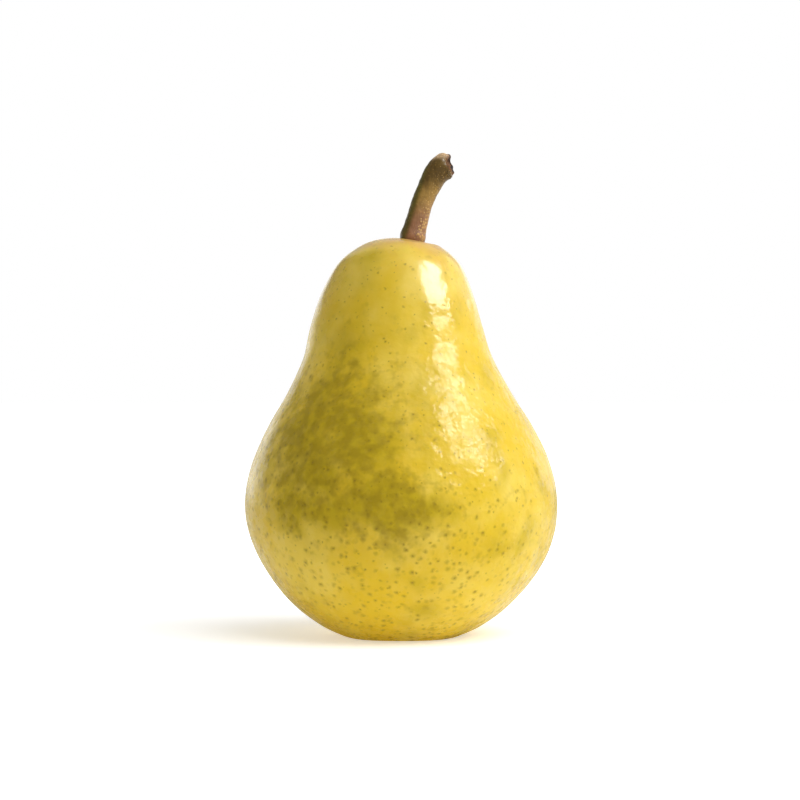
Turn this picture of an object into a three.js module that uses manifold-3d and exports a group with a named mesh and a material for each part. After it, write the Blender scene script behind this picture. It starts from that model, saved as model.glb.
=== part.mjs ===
// A ripe pear standing on its base: the fruit, its woody stem, and the dried calyx that is left of the
// flower in the basin underneath, with five sepals round a tuft of withered stamens.
// Millimetres, +Z up. The origin is the middle of the foot, on the surface that the pear stands on.

import * as THREE from "three";
import { mergeVertices } from "three/addons/utils/BufferGeometryUtils.js";
import Module from "manifold-3d";

const wasm = await Module();
wasm.setup();

// --- Driving dimensions ---------------------------------------------------------------------------

const BELLY_RADIUS = 35; // at the widest place of the fruit
const FRUIT_HEIGHT = 89; // foot to crown, before the crown slopes
const STEM_RADIUS = 2.5; // at the waist of the stem
const CLEARANCE = 0.4; // between the fruit and what grows from it

// The fruit's outline, each point as [share of the belly radius, share of the fruit's height].
const BASIN = [
  [0, 0.078],
  [0.065, 0.078],
  [0.13, 0.075],
  [0.19, 0.063],
  [0.245, 0.041],
  [0.285, 0.015],
  [0.303, 0],
];
const FLANK = [
  [0.38, 0],
  [0.512, 0.024],
  [0.68, 0.0735],
  [0.82, 0.138],
  [0.931, 0.2135],
  [0.993, 0.2865],
  [0.9985, 0.365],
  [0.945, 0.447],
  [0.843, 0.5315],
  [0.712, 0.616],
  [0.608, 0.7],
  [0.551, 0.7855],
  [0.486, 0.8665],
  [0.392, 0.9395],
  [0.254, 0.9835],
  [0.1485, 0.9955],
  [0.0943, 0.995],
];
const SOCKET = { lip: 0.8, depth: 2.7, stretch: 1.1, taper: 0.93 }; // round the stem's seat
const BASIN_STEPS = 2; // facets between two points of the outline
const FLANK_STEPS = 3;
const FRUIT_SEGMENTS = 44;

// How the fruit departs from a true round. The neck leans by x and y millimetres where it leans most. The
// crown is moved by shift millimetres towards +X between its two radii, and slopes down that way by tilt.
// The lobes are shares of the radius: flattened front to back, swollen in threes and, low down, in fives.
// The hip is a swelling low down on the side of +X.
const LEAN = { height: 0.798, reach: 0.157, x: -1.0, y: 0.7 };
const CROWN = { shift: 2.6, inner: 0.094, outer: 0.286, tilt: 0.17, above: 0.9 };
const LOBES = { flat: 0.016, three: 0.009, five: 0.022, fiveUpTo: 0.28, fade: [0.88, 0.98] };
const HIP = { size: 0.031, height: 0.15, reach: 0.12 };

// The stem's middle line from its seat in the fruit to its broken end, and its radius along that line
// as [share of the length, share of the stem's radius].
const STEM_LINE = [
  [2.1, 0, 86.9],
  [2.65, 0, 90],
  [3.7, 0.2, 93.8],
  [4.75, 0.5, 97.5],
  [6.1, 0.7, 100.6],
  [7.75, 0.6, 103.7],
  [9.6, 0.3, 105.5],
  [11.3, 0, 106.1],
];
const STEM_SHAPE = [
  [0, 1.0],
  [0.06, 1.07],
  [0.13, 1.16],
  [0.2, 1.06],
  [0.34, 0.99],
  [0.5, 0.97],
  [0.64, 1.0],
  [0.76, 1.09],
  [0.87, 1.19],
  [0.94, 1.18],
  [0.98, 1.04],
];
const SCAR = [
  [1.0, 0.82],
  [0.965, 0.5],
  [0.955, 0],
];
const STEM_SEGMENTS = 20;
const STEM_RIDGES = { count: 3, height: 0.035 };

const SEPAL_COUNT = 5;
const SEPAL = { length: 6.6, width: 3.6, thickness: 0.55, root: 3.1, below: 0.55, droop: 3.4 };

const STAMEN_COUNT = 14;
const DISC = { radius: 2.5, thickness: 0.7, dish: 0.35 };
const DISC_TOP = BASIN[0][1] * FRUIT_HEIGHT - CLEARANCE;
const FILAMENT = { radius: 0.21, ring: 1.85, length: 2.9, splay: 0.9, knob: 0.36 };

// --- Materials ------------------------------------------------------------------------------------

const finish = (color, roughness) => new THREE.MeshStandardMaterial({ color, roughness, metalness: 0 });
const SKIN = finish(0xd9b83a, 0.35);
const BARK = finish(0x7c5b34, 0.7);
const DRY_LEAF = finish(0x5b4a33, 0.85);
const DRY_THREAD = finish(0x3f3223, 0.9);

// --- Helpers --------------------------------------------------------------------------------------

// 0 below low, 1 above high, and smooth between them.
const ease = (value, low, high) => THREE.MathUtils.smoothstep(value, low, high);

const piece = (name, geometry, material) => {
  const mesh = new THREE.Mesh(geometry, material);
  mesh.name = name;
  return mesh;
};

// The geometry with only its places, and with vertices at one place joined.
function welded(geometry) {
  geometry.deleteAttribute("normal");
  geometry.deleteAttribute("uv");
  return mergeVertices(geometry, 1e-4);
}

// Moves each vertex of a geometry to where change() puts it.
function reshaped(geometry, change) {
  const places = geometry.getAttribute("position");
  const point = new THREE.Vector3();
  for (let i = 0; i < places.count; i++) {
    change(point.fromBufferAttribute(places, i));
    places.setXYZ(i, point.x, point.y, point.z);
  }
  geometry.computeVertexNormals();
  return geometry;
}

// A smooth line through [radius, height] points.
function smoothLine(points, steps) {
  const curve = new THREE.SplineCurve(points.map(([x, y]) => new THREE.Vector2(x, y)));
  return curve.getPoints((points.length - 1) * steps);
}

// A closed form turned about +Z from [radius, height] points that start and end on the axis.
function turned(outline, segments) {
  return welded(new THREE.LatheGeometry(outline, segments)).rotateX(Math.PI / 2);
}

const toSolid = (geometry) => {
  const g = welded(geometry);
  return new wasm.Manifold(
    new wasm.Mesh({
      numProp: 3,
      vertProperties: g.getAttribute("position").array,
      triVerts: new Uint32Array(g.index.array),
    }),
  );
};

const toGeometry = (solid) => {
  const mesh = solid.getMesh();
  return new THREE.BufferGeometry()
    .setAttribute("position", new THREE.BufferAttribute(mesh.vertProperties, 3))
    .setIndex(new THREE.BufferAttribute(mesh.triVerts, 1));
};

// --- Fruit ----------------------------------------------------------------------------------------

// The skin has a flat foot, a basin inside it for the calyx, and a socket at the top for the stem.
function fruit() {
  const inMillimetres = ([r, h]) => [r * BELLY_RADIUS, h * FRUIT_HEIGHT];
  const seat = STEM_RADIUS * SOCKET.stretch + CLEARANCE;
  const floor = FRUIT_HEIGHT - SOCKET.depth;
  const outline = [
    ...smoothLine(BASIN.map(inMillimetres), BASIN_STEPS),
    ...smoothLine(FLANK.map(inMillimetres), FLANK_STEPS),
    new THREE.Vector2(seat, FRUIT_HEIGHT - SOCKET.lip),
    new THREE.Vector2(seat * SOCKET.taper, floor),
    new THREE.Vector2(0, floor),
  ];
  return reshaped(turned(outline, FRUIT_SEGMENTS), (p) => {
    const radius = Math.hypot(p.x, p.y) / BELLY_RADIUS;
    const height = p.z / FRUIT_HEIGHT;
    const angle = Math.atan2(p.y, p.x);

    const nearTop = ease(height, ...LOBES.fade);
    const nearBase = 1 - ease(height, 0, LOBES.fiveUpTo);
    const swell =
      (LOBES.flat * (Math.cos(2 * angle) - 1)) / 2 +
      LOBES.three * Math.sin(3 * angle) +
      LOBES.five * nearBase * Math.sin(5 * angle) +
      (HIP.size * (1 + Math.cos(angle)) * Math.exp(-(((height - HIP.height) / HIP.reach) ** 2))) / 2;
    p.x *= 1 + swell * (1 - nearTop);
    p.y *= 1 + swell * (1 - nearTop);

    const top = height > CROWN.above ? 1 - ease(radius, CROWN.inner, CROWN.outer) : 0;
    p.z -= CROWN.tilt * top * p.x;
    const lean = Math.exp(-(((height - LEAN.height) / LEAN.reach) ** 2)) * (1 - top);
    p.x += LEAN.x * lean + CROWN.shift * top;
    p.y += LEAN.y * lean;
  });
}

// --- Stem -----------------------------------------------------------------------------------------

// A turned form bent along the stem's middle line: flared where it leaves the fruit, thicker towards its
// far end, and dished there by the scar where it broke from the twig.
function stem() {
  const line = new THREE.CatmullRomCurve3(STEM_LINE.map((p) => new THREE.Vector3(...p)));
  const length = line.getLength();
  const side = smoothLine(STEM_SHAPE, 2).concat(SCAR.map(([s, r]) => new THREE.Vector2(s, r)));
  const outline = [
    new THREE.Vector2(0, 0),
    ...side.map((p) => new THREE.Vector2(p.y * STEM_RADIUS, p.x * length)),
  ];
  return reshaped(turned(outline, STEM_SEGMENTS), (p) => {
    const share = THREE.MathUtils.clamp(p.z / length, 0, 1);
    const along = line.getTangentAt(share);
    const across = new THREE.Vector3(0, 1, 0).cross(along).normalize();
    const back = along.clone().cross(across);
    const ridge = 1 + STEM_RIDGES.height * Math.cos(STEM_RIDGES.count * Math.atan2(p.y, p.x));
    const [u, v] = [p.x * ridge, p.y * ridge];
    p.copy(line.getPointAt(share)).addScaledVector(across, u).addScaledVector(back, v);
  });
}

// --- Calyx ----------------------------------------------------------------------------------------

// One dried sepal, pointing along +X: a flattened pod, narrow at its tip, that hangs from its root and
// curls outwards.
function sepal(turn) {
  const pod = welded(new THREE.SphereGeometry(1, 10, 10).rotateZ(Math.PI / 2));
  return reshaped(pod, (p) => {
    const along = (1 + p.x) / 2; // 0 at the root, 1 at the tip
    const taper = 1 - 0.45 * along ** 2;
    const cup = 0.35 * p.y ** 2 * (1 - along);
    const x = SEPAL.root + SEPAL.length * along * (1 - 0.12 * along);
    const y = (p.y * SEPAL.width * taper) / 2;
    const drop = SEPAL.droop * Math.sin((Math.PI * along) / 1.7);
    const z = DISC_TOP - SEPAL.below + (p.z * SEPAL.thickness) / 2 + cup - drop;
    p.set(x * Math.cos(turn) - y * Math.sin(turn), x * Math.sin(turn) + y * Math.cos(turn), z);
  });
}

// One withered stamen hanging from the disc: a thread that bows outwards, with a knob at its end.
function stamen(index) {
  const turn = (index / STAMEN_COUNT) * 2 * Math.PI;
  const reach = 1 + 0.18 * Math.sin(index * 2.4);
  const middle = DISC_TOP - DISC.thickness / 2;
  const at = (radius, depth) =>
    new THREE.Vector3(radius * Math.cos(turn), radius * Math.sin(turn), middle - depth);
  const foot = at(FILAMENT.ring, 0);
  const bow = at(FILAMENT.ring + FILAMENT.splay * 0.5 * reach, FILAMENT.length * 0.5);
  const end = at(FILAMENT.ring + FILAMENT.splay * 0.3 * reach, FILAMENT.length * reach);
  const section = new THREE.Shape().absarc(0, 0, FILAMENT.radius, 0, 2 * Math.PI);
  const thread = new THREE.ExtrudeGeometry(section, {
    extrudePath: new THREE.QuadraticBezierCurve3(foot, bow, end),
    steps: 3,
    curveSegments: 3,
  });
  const knob = new THREE.SphereGeometry(FILAMENT.knob, 5, 4).translate(end.x, end.y, end.z);
  return toSolid(thread).add(toSolid(knob));
}

// The stamens stand in a ring on the dished disc that closes the flower's cup.
function stamens() {
  const { radius, thickness, dish } = DISC;
  const outline = [
    [0, DISC_TOP - thickness + dish],
    [radius * 0.5, DISC_TOP - thickness + dish * 0.4],
    [radius * 0.86, DISC_TOP - thickness],
    [radius, DISC_TOP - thickness / 2],
    [radius * 0.9, DISC_TOP],
    [0, DISC_TOP],
  ].map(([r, h]) => new THREE.Vector2(r, h));
  let solid = toSolid(turned(outline, 20));
  for (let i = 0; i < STAMEN_COUNT; i++) solid = solid.add(stamen(i));
  return toGeometry(solid);
}

// --- The pear -------------------------------------------------------------------------------------

const pear = new THREE.Group();
pear.add(piece("fruit", fruit(), SKIN));
pear.add(piece("stem", stem(), BARK));
for (let i = 0; i < SEPAL_COUNT; i++) {
  pear.add(piece(`sepal_${i + 1}`, sepal(((i + 0.25) / SEPAL_COUNT) * 2 * Math.PI), DRY_LEAF));
}
pear.add(piece("stamens", stamens(), DRY_THREAD));

export default pear;
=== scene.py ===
"""A ripe pear on a pale floor: the waxy fruit, its woody stem, and the dried calyx underneath."""

import math

import bmesh
import bpy
from bpy.props import FloatProperty, FloatVectorProperty, IntProperty, PointerProperty
from mathutils import Matrix, Vector, noise
from mathutils.geometry import interpolate_bezier


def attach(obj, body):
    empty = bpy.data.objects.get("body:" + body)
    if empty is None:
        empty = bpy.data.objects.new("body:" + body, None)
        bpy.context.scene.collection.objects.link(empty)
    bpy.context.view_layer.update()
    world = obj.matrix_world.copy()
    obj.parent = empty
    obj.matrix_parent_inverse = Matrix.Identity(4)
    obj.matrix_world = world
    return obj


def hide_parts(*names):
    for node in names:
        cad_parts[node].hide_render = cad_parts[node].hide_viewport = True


bl_info = {
    "name": "Ripe Pear",
    "version": (1, 0, 0),
    "blender": (4, 5, 0),
    "location": "3D Viewport > Sidebar > Pear",
    "description": "Models a ripe pear, with its stem and dried calyx, and a plain studio to look at it in",
    "category": "Add Mesh",
}

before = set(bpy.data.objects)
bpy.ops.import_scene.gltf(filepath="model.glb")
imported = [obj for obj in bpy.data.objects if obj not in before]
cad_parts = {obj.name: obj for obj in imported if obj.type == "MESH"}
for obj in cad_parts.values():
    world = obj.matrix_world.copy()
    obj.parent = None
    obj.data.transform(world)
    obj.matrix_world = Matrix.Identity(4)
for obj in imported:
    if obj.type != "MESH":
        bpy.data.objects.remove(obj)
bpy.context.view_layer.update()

MM = 0.001
MERGE_WITHIN = 0.0001 * MM

# --- The fruit's form, as in the CAD model ---

BELLY_RADIUS = 35 * MM
FRUIT_HEIGHT = 89 * MM

# Half outlines, each point as (share of the belly radius, share of the fruit's height).
BASIN = [
    (0, 0.078),
    (0.065, 0.078),
    (0.13, 0.075),
    (0.19, 0.063),
    (0.245, 0.041),
    (0.285, 0.015),
    (0.303, 0),
]
FOOT = [(0.303, 0), (0.38, 0)]
FLANK = [
    (0.38, 0),
    (0.512, 0.024),
    (0.68, 0.0735),
    (0.82, 0.138),
    (0.931, 0.2135),
    (0.993, 0.2865),
    (0.9985, 0.365),
    (0.945, 0.447),
    (0.843, 0.5315),
    (0.712, 0.616),
    (0.608, 0.7),
    (0.551, 0.7855),
    (0.486, 0.8665),
    (0.392, 0.9395),
    (0.254, 0.9835),
    (0.1485, 0.9955),
    (0.0943, 0.995),
]
# Down into the seat that the stem stands in.
SEAT = [(0.0943, 0.995), (0.0935, 0.99), (0.093, 0.975), (0.086, 0.965), (0, 0.965)]

# The neck leans this way, most at one height. Heights are shares of the fruit's height.
LEAN_HEIGHT, LEAN_REACH = 0.798, 0.157
LEAN = Vector((-1.0, 0.7, 0)) * MM

# The crown is moved towards +X and slopes down that way. Its radii are shares of the belly radius.
CROWN_SHIFT, CROWN_TILT = 2.6 * MM, 0.17
CROWN_INNER, CROWN_OUTER, CROWN_ABOVE = 0.094, 0.286, 0.9

# Lobes, as shares of the radius: flattened front to back, swollen in threes and, low down, in fives.
LOBES_FLAT, LOBES_THREE, LOBES_FIVE = 0.016, 0.009, 0.022
LOBES_FIVE_UP_TO = 0.28
LOBES_FADE = (0.88, 0.98)

# A swelling low down on the side of +X.
HIP_SIZE, HIP_HEIGHT, HIP_REACH = 0.031, 0.15, 0.12

# --- The stem's form ---

STEM_RADIUS = 2.5 * MM

# Its middle line, in millimetres.
STEM_LINE = [
    (2.1, 0, 86.9),
    (2.65, 0, 90),
    (3.7, 0.2, 93.8),
    (4.75, 0.5, 97.5),
    (6.1, 0.7, 100.6),
    (7.75, 0.6, 103.7),
    (9.6, 0.3, 105.5),
    (11.3, 0, 106.1),
]

# Its side, then the torn end inside the rim, as (share of its length, share of its radius).
STEM_SHAPE = [
    (0, 1.0),
    (0.06, 1.07),
    (0.13, 1.16),
    (0.2, 1.06),
    (0.34, 0.99),
    (0.5, 0.97),
    (0.64, 1.0),
    (0.76, 1.09),
    (0.87, 1.19),
    (0.94, 1.18),
    (0.98, 1.04),
]
SCAR = [(0.98, 1.04), (0.997, 0.88), (0.988, 0.74), (0.955, 0.5), (0.945, 0)]
STEM_RIDGES, STEM_RIDGE_HEIGHT = 3, 0.035
STEM_LINE_SPACING = 0.25 * MM


def linear(hex_colour):
    """The linear colour of an sRGB hex value such as D9B83A."""
    channels = [int(hex_colour[i : i + 2], 16) / 255 for i in (0, 2, 4)]
    return tuple(c / 12.92 if c <= 0.04045 else ((c + 0.055) / 1.055) ** 2.4 for c in channels)


def ease(value, low, high):
    """0 below low, 1 above high, and smooth between them."""
    t = min(max((value - low) / (high - low), 0), 1)
    return t * t * (3 - 2 * t)


# --- Settings ---


class PearFruitSettings(bpy.types.PropertyGroup):
    """Sizes and colours of the fruit and its skin."""

    segments: IntProperty(name="Segments", description="Facets round the fruit", default=320, min=24)
    spacing: FloatProperty(
        name="Ring spacing", description="Between two rings of the skin", default=0.62 * MM, unit="LENGTH"
    )
    swell: FloatProperty(
        name="Swell", description="Height of the broad swellings", default=0.3 * MM, unit="LENGTH"
    )
    dimples: FloatProperty(
        name="Dimples",
        description="Height of the shallow dimples in the skin",
        default=0.07 * MM,
        unit="LENGTH",
    )
    lenticel_spacing: FloatProperty(
        name="Pore spacing",
        description="Between two corky pores of the skin",
        default=1.5 * MM,
        unit="LENGTH",
    )
    ripe: FloatVectorProperty(
        name="Ripe skin",
        description="Where the sun ripened it",
        default=linear("E0BE30"),
        subtype="COLOR",
    )
    butter: FloatVectorProperty(
        name="Pale skin", description="Where the wax is thick", default=linear("E9CC54"), subtype="COLOR"
    )
    # The unripe colour is also the colour of the painted shade on the front of the fruit.
    green: FloatVectorProperty(
        name="Unripe skin",
        description="Where a leaf shaded it",
        default=linear("C3A824"),
        subtype="COLOR",
    )
    blotch: FloatVectorProperty(
        name="Blotches",
        description="Dull patches in the unripe skin",
        default=linear("917A1C"),
        subtype="COLOR",
    )
    pore: FloatVectorProperty(
        name="Pores", description="The corky pores", default=linear("70561A"), subtype="COLOR"
    )
    russet: FloatVectorProperty(
        name="Russet",
        description="The tan skin round the stem",
        default=linear("D8A662"),
        subtype="COLOR",
    )


class PearStemSettings(bpy.types.PropertyGroup):
    """Sizes and colours of the stem."""

    segments: IntProperty(name="Segments", description="Facets round the stem", default=96, min=12)
    spacing: FloatProperty(
        name="Ring spacing", description="Between two rings of the stem", default=0.16 * MM, unit="LENGTH"
    )
    wrinkles: FloatProperty(
        name="Wrinkles", description="Height of the bark's wrinkles", default=0.08 * MM, unit="LENGTH"
    )
    ragged: FloatProperty(
        name="Ragged end",
        description="Height of the torn wood's unevenness",
        default=0.7 * MM,
        unit="LENGTH",
    )
    bark: FloatVectorProperty(
        name="Bark", description="Along the stem", default=linear("99783C"), subtype="COLOR"
    )
    foot: FloatVectorProperty(
        name="Foot",
        description="The redder bark near the fruit",
        default=linear("926748"),
        subtype="COLOR",
    )
    # Painted shade: the olive of the stem's left side, away from the lights.
    painted_shade_side: FloatVectorProperty(
        name="Shaded side",
        description="The olive bark away from the sun",
        default=linear("5C541C"),
        subtype="COLOR",
    )
    head: FloatVectorProperty(
        name="Head", description="The dark bark of the head", default=linear("685127"), subtype="COLOR"
    )
    fleck: FloatVectorProperty(
        name="Flecks", description="The corky flecks", default=linear("D6AC62"), subtype="COLOR"
    )
    cap: FloatVectorProperty(
        name="Cap",
        description="The dry bark on top of the head",
        default=linear("DDBB90"),
        subtype="COLOR",
    )
    rim: FloatVectorProperty(
        name="Scar rim", description="Round the torn end", default=linear("7A4A26"), subtype="COLOR"
    )
    scar: FloatVectorProperty(
        name="Scar",
        description="The dark wood of the torn end",
        default=linear("221A14"),
        subtype="COLOR",
    )


class PearCalyxSettings(bpy.types.PropertyGroup):
    """Sizes and colours of what is left of the flower."""

    sepal_length: FloatProperty(
        name="Sepal length", description="From root to tip", default=6.6 * MM, unit="LENGTH"
    )
    sepal_width: FloatProperty(
        name="Sepal width", description="At the widest place", default=3.6 * MM, unit="LENGTH"
    )
    stamens: IntProperty(name="Stamens", description="Number of withered stamens", default=14, min=1)
    leaf: FloatVectorProperty(
        name="Sepals", description="Colour of the dried sepals", default=linear("73604A"), subtype="COLOR"
    )
    thread: FloatVectorProperty(
        name="Stamens", description="Colour of the stamens", default=linear("4A3B29"), subtype="COLOR"
    )


class PearStageSettings(bpy.types.PropertyGroup):
    """The studio: camera, floor and light."""

    distance: FloatProperty(
        name="Camera distance", description="From the camera to the pear", default=0.5, unit="LENGTH"
    )
    lens: FloatProperty(name="Lens", description="Focal length", default=100, subtype="DISTANCE_CAMERA")
    floor: FloatVectorProperty(
        name="Floor", description="Colour of the floor", default=linear("F4F4F2"), subtype="COLOR"
    )
    glow: FloatProperty(
        name="Glow", description="Radiance added to the near floor for the camera", default=0.4
    )
    room: FloatProperty(
        name="Room light", description="Radiance of the room beyond the panels", default=0.17
    )


# --- Mesh helpers ---


def smooth_line(points, spacing):
    """Points about spacing apart on a smooth line through the given ones."""
    line = []
    last = len(points) - 1
    for i in range(last):
        before, start = points[max(i - 1, 0)], points[i]
        end, after = points[i + 1], points[min(i + 2, last)]
        steps = max(2, round((end - start).length / spacing))
        leaving, arriving = start + (end - before) / 6, end - (after - start) / 6
        line += interpolate_bezier(start, leaving, arriving, end, steps + 1)[:-1]
    return line + [points[-1]]


def turn_outline(bm, outline, segments):
    """Turns (radius, height) points, from axis to axis, all round Z. Returns the form's vertices."""
    others = set(bm.verts)
    corners = [bm.verts.new((p.x, 0, p.y)) for p in outline]
    edges = [bm.edges.new(pair) for pair in zip(corners, corners[1:])]
    bmesh.ops.spin(
        bm,
        geom=corners + edges,
        cent=(0, 0, 0),
        axis=(0, 0, 1),
        angle=math.tau,
        steps=segments,
        use_merge=True,
    )
    turned = [vert for vert in bm.verts if vert not in others]
    bmesh.ops.remove_doubles(bm, verts=turned, dist=MERGE_WITHIN)
    bmesh.ops.recalc_face_normals(bm, faces=bm.faces)
    return [vert for vert in bm.verts if vert not in others]


def line_frame(line, share):
    """The point at a share of a line's length, and the two directions across the line there."""
    lengths = [0.0]
    for a, b in zip(line, line[1:]):
        lengths.append(lengths[-1] + (b - a).length)
    reach = share * lengths[-1]
    index = next((i for i in range(1, len(line)) if lengths[i] >= reach), len(line) - 1)
    part = (reach - lengths[index - 1]) / (lengths[index] - lengths[index - 1])
    along = (line[min(index + 1, len(line) - 1)] - line[max(index - 2, 0)]).normalized()
    across = Vector((0, 1, 0)).cross(along).normalized()
    return line[index - 1].lerp(line[index], part), across, along.cross(across)


def bend_along(verts, line):
    """Bends a form that was turned about Z, and is as tall as the line is long, along the line."""
    length = sum((b - a).length for a, b in zip(line, line[1:]))
    frames = {}
    for vert in verts:
        share = round(min(max(vert.co.z / length, 0), 1), 5)
        if share not in frames:
            frames[share] = line_frame(line, share)
        point, across, back = frames[share]
        vert.co = point + across * vert.co.x + back * vert.co.y


def raise_skin(bm, height):
    """Moves each vertex along its normal by height(place)."""
    bm.normal_update()
    moves = [vert.normal * height(vert.co) for vert in bm.verts]
    for vert, move in zip(bm.verts, moves):
        vert.co += move


def finish_piece(name, bm, node, material):
    """Makes the bmesh the object that stands for a CAD node."""
    for face in bm.faces:
        face.smooth = True
    mesh = bpy.data.meshes.new(name)
    bm.to_mesh(mesh)
    bm.free()
    mesh.materials.append(material)
    piece = bpy.data.objects.new(name, mesh)
    bpy.context.scene.collection.objects.link(piece)
    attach(piece, "root")
    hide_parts(node)
    return piece


# --- Material helpers ---


def start_material(name):
    """A new material, with its node tree and its surface shader."""
    material = bpy.data.materials.new(name)
    material.use_nodes = True
    tree = material.node_tree
    return material, tree, tree.nodes["Principled BSDF"]


def add_node(tree, kind, inputs=None, **settings):
    """Adds a node with its settings. An input is a value, or a socket to link from."""
    node = tree.nodes.new(kind)
    for name, value in settings.items():
        setattr(node, name, value)
    for name, value in (inputs or {}).items():
        if isinstance(value, bpy.types.NodeSocket):
            tree.links.new(value, node.inputs[name])
        else:
            node.inputs[name].default_value = value
    return node


FACTOR, COLOUR_A, COLOUR_B, COLOUR_OUT = 0, 6, 7, 2  # sockets of a colour Mix node


# --- Skin ---

# Sizes of its patterns.
RIPE_CLOUD = 16 * MM
SHADE_PATCH = 9 * MM
SMUDGE = 2.6 * MM
RUSSET_CLOUD = 6 * MM
WAX_PATCH = 3 * MM
RIPPLE = 3.8 * MM
GLINT = 4.6 * MM
GRAIN = 0.6 * MM

# The two patches of darker, greener skin, partly painted shade: each one's middle, and the distances at
# which it ends and is full.
PAINTED_SHADE_PATCHES = [
    ((-18 * MM, -28 * MM, 46 * MM), 30 * MM, 8 * MM),
    ((-2 * MM, -35 * MM, 31 * MM), 16 * MM, 3 * MM),
]

# Pores are nudged off an even spread, and get fewer upward; they also get fewer towards the lit right side,
# which is painted light.
PORE_NUDGE, PORE_NUDGE_SIZE = 0.9 * MM, 1.2 * MM
PORES_THIN_UP_AND_LIT = (0.6, 0, 1)
PORES_FEW, PORES_DENSE = 66 * MM, 14 * MM
PORE_DEPTH = 0.03 * MM

# The russet round the stem's foot and in the basin: each one's middle, the distances at which it ends
# and is full, and its strength. Its edge is ragged.
RUSSETS = [
    ((CROWN_SHIFT, 0, FRUIT_HEIGHT), 16 * MM, 3 * MM, 0.75),
    ((0, 0, 7 * MM), 13 * MM, 5 * MM, 0.9),
]
RUSSET_RAGGED = 3.5 * MM

# Ripples are highest on the flank, and lower on the neck and on the shaded side.
RIPPLES_TOP, RIPPLES_FULL = 84 * MM, 58 * MM
RIPPLE_LOW, RIPPLE_HIGH = 0.09 * MM, 0.48 * MM
SUNNY_FROM, SUNNY_TO = -18 * MM, 8 * MM
GRAIN_HEIGHT = 0.006 * MM
GLINT_HEIGHT = 2.3  # times the ripples'
NECK_FROM, NECK_TO = 66 * MM, 76 * MM


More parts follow.
